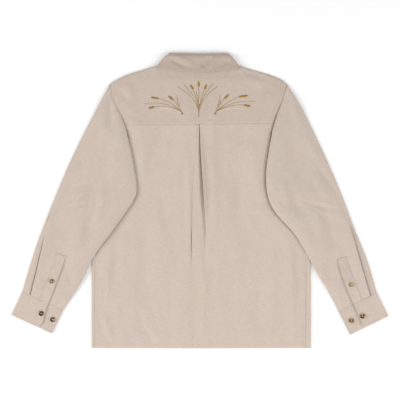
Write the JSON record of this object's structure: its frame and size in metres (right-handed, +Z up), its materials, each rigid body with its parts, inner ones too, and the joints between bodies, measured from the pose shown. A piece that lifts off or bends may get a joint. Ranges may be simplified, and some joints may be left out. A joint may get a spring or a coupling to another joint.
{
  "type": "chambray shirt",
  "caption": "Long-sleeved chambray shirt laid flat, face down, with a yoke, a back box pleat, button cuffs and a turned-down collar.",
  "frame": {"origin": "centre of the bounding box on the table that the shirt lies on", "axes": "X runs across both sleeves towards the wearer's right, Y runs from the hem to the collar, Z points up from the table"},
  "size_m": [0.905, 0.7084, 0.0089],
  "materials": {
    "cloth": "matt sand-coloured chambray",
    "button": "polished mottled brown, like horn"
  },
  "bodies": {
    "root": {"back_panel": "cloth", "back_yoke": "cloth", "front_left": "cloth", "front_right": "cloth", "front_placket": "cloth", "collar_stand": "cloth", "collar_leaf": "cloth", "sleeve_left": "cloth", "sleeve_right": "cloth", "sleeve_placket_left": "cloth", "sleeve_placket_right": "cloth", "cuff_left": "cloth", "cuff_right": "cloth", "button_cuff_left": "button", "button_cuff_right": "button", "button_cuff_spare_left": "button", "button_cuff_spare_right": "button", "button_placket_left": "button", "button_placket_right": "button", "button_front_1": "button", "button_front_2": "button", "button_front_3": "button", "button_front_4": "button", "button_front_5": "button", "button_front_6": "button", "button_front_7": "button", "button_stand": "button"}
  },
  "joints": []
}
